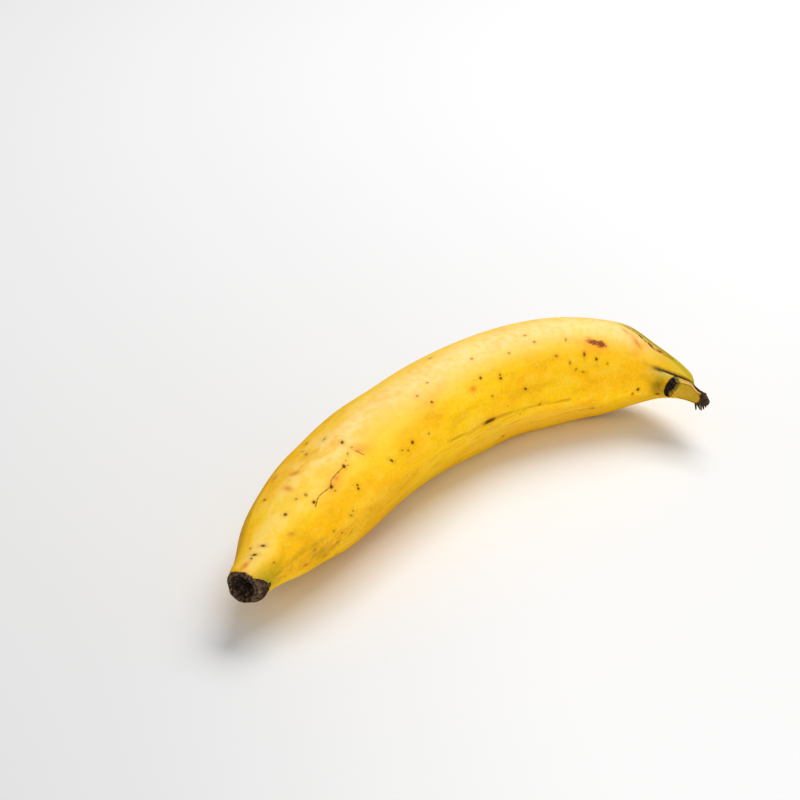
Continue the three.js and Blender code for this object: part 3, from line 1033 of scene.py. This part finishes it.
class Peel(Shader):
    """The peel's material: the patterns that its layers share, and a method for each layer. Places
    are in millimetres and degrees, as in the tables of marks."""

    def __init__(self, tints, length):
        super().__init__("plantain_peel")
        self.tints = tints
        self.place = self.scaled(self.attribute("straight"), 1 / MM)
        x, y, self.station = self.parts(self.place)
        self.degrees = self.math("ARCTAN2", y, x) * (180 / math.pi)
        # The seam channel also holds painted shade: in the neck's crease, past the lobe's step and beside
        # the lump.
        self.tip, self.crust, self.seam = self.parts(self.attribute("dried"))
        self.inward = self.attribute("inward", "Fac") * (1 / MM)
        self.on_skin = self.step(self.inward, 0.3, 0.1)
        self.patches = self.noise(self.drawn_out(self.place, 0.4), 0.16, 3.0, 0.6)
        self.mottle = self.noise(self.place, 0.30, 4.0, 0.7)
        self.streaks = self.noise(self.drawn_out(self.place, 0.05), 0.8, 3.0, 0.6)
        self.dapple = self.noise(self.place, 0.72, 2.0, 0.6)
        self.grain = self.noise(self.place, 1.5, 2.0, 0.7)
        twist = self.station * self.station * (-RIDGE_TWIST / length ** 2)
        ridge = self.degrees + twist - RIDGE_ANGLES[0]
        self.from_ridge = ridge
        self.under_ridge = self.step(ridge, 1.0, -9.0) * self.step(ridge, -48.0, -26.0)

    def between(self, start, full, fades, end):
        """1 from one station to another, and 0 before and past them."""
        return self.step(self.station, start, full) * self.step(self.station, end, fades)

    def ground(self):
        """Broad patches, mottling, long streaks, dapples and fine grain."""
        tints = self.tints
        broad = self.noise(self.drawn_out(self.place, 0.4), 0.05, 2.0)
        self.colour = self.mix(self.step(broad, 0.4, 0.6), tints.deep, tints.ripe)
        for pattern, low, high, share, tint in (
            (self.patches, 0.48, 0.68, 0.55, tints.pale),
            (self.patches, 0.48, 0.32, 0.28, tints.ochre),
            (self.streaks, 0.5, 0.75, 0.4, tints.deep),
            (self.mottle, 0.50, 0.66, 0.4, tints.peach),
            (self.mottle, 0.46, 0.30, 0.6, tints.deep),
            (self.dapple, 0.54, 0.74, 0.22, tints.ochre),
            (self.dapple, 0.46, 0.28, 0.40, tints.pale),
            (self.grain, 0.54, 0.72, 0.15, tints.ochre),
        ):
            self.paint(self.step(pattern, low, high) * share, tint)

    def upper_highlight(self):
        """Painted highlight: the upper side, where the overhead light falls, is painted paler, curdled
        with yellow.
        """
        curd = self.noise(self.place, 0.36, 4.0, 0.62)
        upper = self.hill(self.degrees, 88.0, 56.0)
        painted_highlight = upper * upper * (self.step(self.station, -30.0, 70.0) * 0.4 + 0.6)
        painted_highlight = painted_highlight * self.step(self.station, 274.0, 256.0)
        near_tip = self.step(self.station, 140.0, 60.0)
        painted_highlight = painted_highlight * (1 - near_tip * self.step(self.patches, 0.58, 0.44) * 0.75)
        self.paint(painted_highlight * (0.45 + self.step(curd, 0.30, 0.64) * 0.47), self.tints.painted_highlight)

    def ridge_band(self):
        """Peach under the ridge that faces the inside of the curve, with fine long lines."""
        band = self.under_ridge * self.between(130.0, 170.0, 225.0, 248.0)
        self.paint(band * (0.2 + self.step(self.mottle, 0.4, 0.6) * 0.6), self.tints.peach)
        lines = self.noise(self.drawn_out(self.place, 0.03), 1.5, 2.0)
        near_ridge = self.hill(self.from_ridge, -8.0, 22.0) * self.between(40.0, 110.0, 235.0, 262.0)
        self.paint(self.step(lines, 0.56, 0.7) * near_ridge * 0.5, self.tints.ochre)

    def low_tip(self):
        """Low down near the tip the peel is more orange, with fine brown mottling."""
        net = self.under_ridge * self.between(6.0, 14.0, 40.0, 84.0)
        self.paint(net * self.step(self.mottle, 0.35, 0.6) * 0.3, self.tints.orange)
        self.paint(net * self.step(self.dapple, 0.44, 0.66) * 0.4, self.tints.ochre)

    def greens(self):
        """Unripe green at both ends, strongest on the far side of the neck, where it is also kept dark
        and olive as painted shade.
        """
        far_side = self.step(self.degrees + self.patches * 24.0, 100.0, 118.0)
        far_side = far_side * self.step(self.degrees + self.patches * 60.0, 215.0, 140.0)
        shoulder = self.step(self.station + self.patches * 12.0, 248.0, 262.0)
        green = shoulder * far_side * (self.step(self.station, 286.0, 268.0) * 0.35 + 0.4)
        neck = self.step(self.station, 246.0, 280.0)
        green = green.most(neck * (self.hill(self.degrees, 110.0, 60.0) * 0.6 + 0.06))
        tip_green = self.step(self.station + self.patches * 16.0, 26.0, 9.0)
        tip_green = tip_green * (self.hill(self.degrees, 8.0, 75.0) * 0.65 + 0.1)
        self.paint(green.most(tip_green) * self.on_skin, self.tints.green)

    def stains(self):
        """The soft stains that have a place of their own: pale ones that are partly painted highlight,
        orange ones, and olive ones that are partly painted shade. The cream is beside the cut.
        """
        pale, orange, olive = self.parts(self.attribute("stains"))
        cream = self.attribute("cream", "Fac")
        self.paint(pale * (0.35 + self.patches * 0.4), self.tints.pale)
        self.paint(cream * self.on_skin * (0.6 + self.patches * 0.4), self.tints.cream)
        self.paint(orange * (self.mottle * 0.7 + 0.25), self.tints.orange)
        # Olive, partly painted shade, grows stronger towards the neck.
        uneven = self.step(self.mottle, 0.35, 0.6) * 0.25 + 0.2
        uneven = uneven + self.step(self.station, 60.0, 265.0) * 0.5
        self.paint(olive * uneven * self.on_skin, self.tints.olive)

    def random_specks(self, cell, share, size):
        """Specks one to a cell at most, in that share of the cells, with their greatest reach."""
        scale = 1 / cell
        near = self.cells(self.place, scale)
        luck = self.node("ShaderNodeSeparateColor", {}, {0: self.cells(self.place, scale, "Color")})
        other_luck = Wire(self, luck.socket.node.outputs[1])
        reach = self.step(luck, 1 - share, 1.0) * (size * scale) + LEAST_REACH
        return self.step(near, reach * 1.25, reach * 0.6) * (other_luck * 0.75 + 0.25)

    def scattered(self):
        """Random specks of three sizes, thickest where the peel is patchy."""
        spare = 1 - self.hill(self.degrees, 45.0, 110.0) * 0.9
        fine = self.random_specks(2.8, 0.55, 0.5) * self.step(self.patches, 0.3, 0.62)
        self.middling = self.random_specks(6.0, 0.42, 0.75) * spare
        coarse = self.random_specks(9.0, 0.75, 1.0) * spare
        self.paint(fine * 0.45, self.tints.ochre)
        self.paint((self.middling * 0.7).most(coarse), self.tints.speck)

    def sores(self):
        """Halos round the placed specks, rust spots, and the scabs in their orange skin."""
        self.paint(self.attribute("halo", "Fac") * 0.45, self.tints.ochre)
        self.paint(self.attribute("rust_spots", "Fac") * (self.grain * 1.2 + 0.1), self.tints.rust)
        scab = self.attribute("scabs", "Fac")
        self.paint(self.step(scab, 0.05, 0.6) * (self.grain * 0.8 + 0.1), self.tints.orange)
        scab = self.step(scab + (self.grain - 0.5) * 1.5, 0.4, 0.75)
        self.paint(scab * (0.5 + self.grain * 0.8), self.tints.scab)

    def line(self, name, outer, inner):
        return self.step(self.length(self.attribute(name)), outer, inner)

    def lines(self):
        """Worn lines on a ridge, the brown line round the neck, and the scratches."""
        worn = self.step(self.streaks, 0.35, 0.6).most(self.hill(self.station, 170.0, 18.0))
        self.paint(self.line("ridge_lines", 1.3, 0.5) * worn * 0.6, self.tints.ochre)
        broken = self.step(self.dapple, 0.34, 0.55) * self.on_skin * 0.7
        self.paint(self.line("neck_lines", 1.5, 0.4) * broken, self.tints.scab)
        uneven = self.step(self.dapple, 0.35, 0.65) * 0.35 + 0.45
        self.paint(self.line("scratches", 1.3, 0.5) * uneven, self.tints.speck)

    def placed_specks(self):
        """The specks that have a place of their own, with wavy edges."""
        moved = self.vector_math("ADD", self.place, (31.0, 7.0, 13.0))
        sways = [(self.noise(place, 1.1) - 0.5) * 1.4 for place in (self.place, moved)]
        wobble = self.node("ShaderNodeCombineXYZ", {}, dict(enumerate(sways)))
        self.dark = 0.0
        for name, strength in zip(SPECK_LAYERS, self.parts(self.attribute("speck_strength"))):
            reach = self.length(self.vector_math("ADD", self.attribute(name), wobble))
            self.dark = (self.step(reach, 1.5, 0.55) * strength).most(self.dark)
        self.paint(self.dark, self.tints.speck)

    def cut(self):
        """The cut: a rind, pale on its upper edge, partly its own colour and partly painted light, and
        olive on its lower edge as painted shade, a brown line inside it along the upper side, and an
        olive core.
        """
        tints = self.tints
        upper = self.hill(self.degrees, 95.0, 95.0)
        strands = self.noise(self.drawn_out(self.place, 0.3), 1.6, 3.0)
        core = self.mix(self.step(strands, 0.3, 0.75) * 0.35, tints.core, tints.rind)
        brown_line = self.hill(self.inward, 1.9, 0.5) * upper
        core = self.mix(brown_line * (0.4 + self.grain * 0.8), core, tints.speck)
        # Painted light and shade on the rind: pale on the upper edge, which catches the light, and olive
        # shade on the lower.
        rind = self.mix(self.step(upper, 0.0, 0.4), tints.olive, tints.rind)
        edge = upper * 1.1 + 0.45
        core = self.mix(self.step(self.inward, edge + 0.3, edge), core, rind)
        self.paint(self.step(self.inward, 0.12, 0.3), core)

    def crusts(self):
        """Brown flakes round the tip, a paler rim, a dark hollow, and black at the cut, which also paints
        shade into the neck's crease, past the lobe's step and beside the lump.
        """
        tints = self.tints
        hollow, rim, _ = self.parts(self.attribute("blossom"))
        flake = self.noise(self.place, 0.75, 4.0, 0.7)
        fleck = self.noise(self.place, 0.8, 2.0, 0.6)
        brown = self.mix(self.step(flake, 0.36, 0.56), tints.dried, tints.bark)
        # The rim is painted paler with ash flakes: partly its own paler skin, partly a painted highlight
        # on its crest.
        brown = self.mix(rim * self.step(flake, 0.40, 0.62) * 0.5, brown, tints.ash)
        pit = hollow * self.step(self.station, 1.0, 2.4)
        brown = self.mix((hollow * self.step(flake, 0.72, 0.42)).most(pit), brown, tints.dried)
        brown = self.mix(self.step(fleck, 0.60, 0.70) * (1 - hollow * 0.5) * 0.5, brown, tints.straw)
        black = self.mix(self.step(flake, 0.5, 0.7) * 0.5, tints.dried, tints.ash)
        toe = self.step(self.station, 290.0, 292.0)
        black = self.mix(toe * self.step(flake, 0.34, 0.54), black, tints.bark)
        self.paint(self.tip, brown)
        # Black over the seam, and painted shade in the neck's crease, past the lobe's step and beside the
        # lump.
        seam = self.seam * (self.step(self.station, 266.0, 277.0) * 0.5 + 0.5)
        self.paint(self.crust.most(seam), black)
        self.crust_relief = flake * self.tip.most(self.crust).most(self.seam) * 4.0

    def surface(self):
        """Roughness and fine relief, from the same patterns as the colours."""
        roughness = 0.40 + self.mottle * 0.14 + self.tip * 0.3 + self.middling * 0.2
        roughness = roughness + self.dark * 0.4 + self.crust * 0.05
        height = self.grain * 0.4 + self.dapple * 0.8 + self.streaks * 0.5 + self.mottle * 1.0
        return self.finish(height - self.middling * 0.6 + self.crust_relief, 0.12 * MM, **{
            "Roughness": roughness.least(0.95), "IOR": 1.45, "Specular IOR Level": 0.14,
            "Subsurface Weight": 0.04, "Subsurface Radius": (1.0, 0.5, 0.1), "Subsurface Scale": 0.0015})


def peel_material(tints, length):
    """Ripe peel, with its specks and scars, the dried tip and the cut stem."""
    peel = Peel(tints, length)
    for layer in (
        peel.ground, peel.upper_highlight, peel.ridge_band, peel.low_tip, peel.greens, peel.stains,
        peel.scattered, peel.sores, peel.lines, peel.placed_specks, peel.cut, peel.crusts,
    ):
        layer()
    return peel.surface()


# Torn fibres: the seed of the draws, then the least and the most of the angle from the toe, the
# share of the full length, the base radius in millimetres, and each way they point. The taper is
# a share of the length and of the base radius, and their tips droop.
FIBRE_SEED = 5
FIBRE_ANGLES = (-60, 70)
FIBRE_LENGTHS = (0.6, 1.0)
FIBRE_BASES = (0.5, 0.85)
FIBRE_WAYS = ((-0.5, 0.3), (-1.0, -0.45), (0.25, 0.9))
FIBRE_TAPER = ((0, 1), (0.35, 1), (0.7, 0.8), (1, 0.35))
FIBRE_DROOP = Vector((0, -0.18, 0.06))
FIBRE_SIDES = 6
FIBRE_SMOOTHING = 1
FIBRE_ROOT = 1.0 * MM


def torn_fibre(dice, fruit):
    """One fibre, rooted in the toe of the straight fruit's cut."""
    angle = CUT_ANGLE + 180 + dice.uniform(*FIBRE_ANGLES)
    length = fruit.fibre_length * dice.uniform(*FIBRE_LENGTHS)
    base = dice.uniform(*FIBRE_BASES) * MM
    fibre = lathe("fibre", [(length * share, base * width) for share, width in FIBRE_TAPER], FIBRE_SIDES)
    edge = cut_station(np.array([angle]), fruit)
    radius = float(skin_radius(np.array([angle]), edge, fruit)[0]) - base
    spin = math.radians(angle)
    root = Vector((radius * math.cos(spin), radius * math.sin(spin), float(edge[0]) - FIBRE_ROOT))
    way = Vector([dice.uniform(*reach) for reach in FIBRE_WAYS]).to_track_quat("Z", "X")
    points = [Vector(point) for point in get_points(fibre)]
    turned = [way @ point + root + FIBRE_DROOP * (point.z ** 2 / length) for point in points]
    set_points(fibre, np.array(turned))
    return fibre


class PLANTAIN_OT_fibres(bpy.types.Operator):
    """Models the torn fibres that stand at the toe of the stem cut"""

    bl_idname = "plantain.fibres"
    bl_label = "Torn fibres"

    def execute(self, context):
        fruit = context.scene.plantain_fruit
        dice = random.Random(FIBRE_SEED)
        fibres = [torn_fibre(dice, fruit) for _ in range(fruit.fibre_count)]
        bpy.ops.object.select_all(action="DESELECT")
        for fibre in fibres:
            fibre.select_set(True)
        bpy.context.view_layer.objects.active = fibres[0]
        bpy.ops.object.join()
        piece = bpy.context.object
        piece.name = piece.data.name = "torn_fibres"
        apply_subdivision(piece, FIBRE_SMOOTHING)
        settle(piece, fruit, np.array(context.scene["plantain_shift"]))
        dress(piece, fibre_material(context.scene.plantain_peel))
        return {"FINISHED"}


def fibre_material(tints):
    """Dry brown fibre with darker strands."""
    shader = Shader("torn_fibre")
    place = shader.node("ShaderNodeTexCoord", {}, {}, "Object")
    strands = shader.noise(place, 2400.0, 3.0)
    shader.colour = shader.mix(shader.step(strands, 0.35, 0.6), tints.dried, tints.bark)
    return shader.finish(strands, 0.1 * MM, Roughness=0.85 + strands * 0.1)


# The floor: how much darker its slow clouds are than its colour, and how far it lies under the
# fruit, so that the two don't share a plane.
FLOOR_SHADE = 0.98
FLOOR_DROP = 0.02 * MM


def floor_material(stage):
    """Smooth pale floor with a soft sheen."""
    shader = Shader("pale_floor")
    place = shader.node("ShaderNodeTexCoord", {}, {}, "Object")
    soft = shader.noise(place, 3.0)
    shade = tuple(part * FLOOR_SHADE for part in stage.floor_colour)
    shader.colour = shader.mix(soft, tuple(stage.floor_colour), shade)
    return shader.finish(soft, 0.01 * MM, Roughness=0.35 + soft * 0.05)


# What the camera looks at and the side it stands on, in the row frame, and its lens in millimetres.
CAMERA_TARGET = (15.48 * MM, 41.65 * MM, 20 * MM)
CAMERA_SIDE = (-0.6189, -0.7855)
CAMERA_LENS = 111.4
CAMERA_SENSOR = 36

# Soft lights: how far they stand across the view, towards the camera and up, then how far away
# they are and their width and height, in metres.
KEY_LIGHT = ((0.3, -0.56, 0.9), 1.12, (0.85, 0.65))
FRONT_LIGHT = ((0.1, 0.9, 0.06), 1.6, (2.0, 0.25))


def soft_light(name, target, axes, plan, power):
    """A rectangular soft light that faces the target."""
    shares, distance, size = plan
    way = sum((axis * share for axis, share in zip(axes, shares)), Vector()).normalized()
    bpy.ops.object.light_add(type="AREA", location=target + way * distance)
    light = bpy.context.object
    light.name = name
    light.rotation_euler = (-way).to_track_quat("-Z", "Y").to_euler()
    light.data.shape = "RECTANGLE"
    light.data.size, light.data.size_y = size
    light.data.energy = power
    return light


class PLANTAIN_OT_stage(bpy.types.Operator):
    """Sets the pale floor, the soft studio light and the camera"""

    bl_idname = "plantain.stage"
    bl_label = "Stage"

    def execute(self, context):
        stage = context.scene.plantain_stage
        bpy.ops.object.select_all(action="DESELECT")
        bpy.ops.mesh.primitive_plane_add(size=stage.floor_size, location=(0, 0, -FLOOR_DROP))
        floor = context.object
        floor.name = "floor"
        floor.data.materials.append(floor_material(stage))
        floor.visible_glossy = False

        target = Vector(CAMERA_TARGET)
        side = Vector((*CAMERA_SIDE, 0)).normalized()
        up = Vector((0, 0, 1))
        across = Vector((-side.y, side.x, 0))
        way = side * math.cos(stage.camera_height) + up * math.sin(stage.camera_height)
        place = target + stage.camera_distance * way
        bpy.ops.object.camera_add(location=place)
        camera = context.object
        camera.rotation_euler = (target - place).to_track_quat("-Z", "Y").to_euler()
        camera.data.lens = CAMERA_LENS
        camera.data.sensor_width = CAMERA_SENSOR
        camera.data.dof.use_dof = False
        context.scene.camera = camera

        axes = (across, side, up)
        soft_light("key", target, axes, KEY_LIGHT, stage.key_power)
        front = soft_light("front", target, axes, FRONT_LIGHT, stage.front_power)
        front.visible_glossy = False

        world = bpy.data.worlds.new("studio")
        world.use_nodes = True
        back = world.node_tree.nodes["Background"]
        back.inputs["Color"].default_value = (1, 1, 1, 1)
        back.inputs["Strength"].default_value = stage.fill_strength
        context.scene.world = world
        world.cycles_visibility.glossy = False
        context.scene.view_settings.view_transform = "Standard"
        return {"FINISHED"}


class PLANTAIN_PT_panel(bpy.types.Panel):
    bl_label = "Plantain"
    bl_idname = "PLANTAIN_PT_panel"
    bl_space_type = "VIEW_3D"
    bl_region_type = "UI"
    bl_category = "Plantain"

    def draw(self, context):
        for operator in OPERATORS:
            self.layout.operator(operator.bl_idname)
        for group in ("plantain_fruit", "plantain_peel", "plantain_stage"):
            settings = getattr(context.scene, group)
            box = self.layout.box()
            for name in settings.bl_rna.properties.keys():
                if name not in ("rna_type", "name"):
                    box.prop(settings, name)


GROUPS = {
    "plantain_fruit": FruitSettings,
    "plantain_peel": PeelColours,
    "plantain_stage": StageSettings,
}
OPERATORS = (PLANTAIN_OT_fruit, PLANTAIN_OT_fibres, PLANTAIN_OT_stage)


def register():
    for cls in (*GROUPS.values(), *OPERATORS, PLANTAIN_PT_panel):
        bpy.utils.register_class(cls)
    for name, group in GROUPS.items():
        setattr(bpy.types.Scene, name, bpy.props.PointerProperty(type=group))


def unregister():
    for name in GROUPS:
        delattr(bpy.types.Scene, name)
    for cls in (PLANTAIN_PT_panel, *reversed(OPERATORS), *reversed(list(GROUPS.values()))):
        bpy.utils.unregister_class(cls)


def main():
    register()
    bpy.ops.plantain.fruit()
    bpy.ops.plantain.fibres()
    bpy.ops.plantain.stage()


if __name__ == "__main__":
    main()
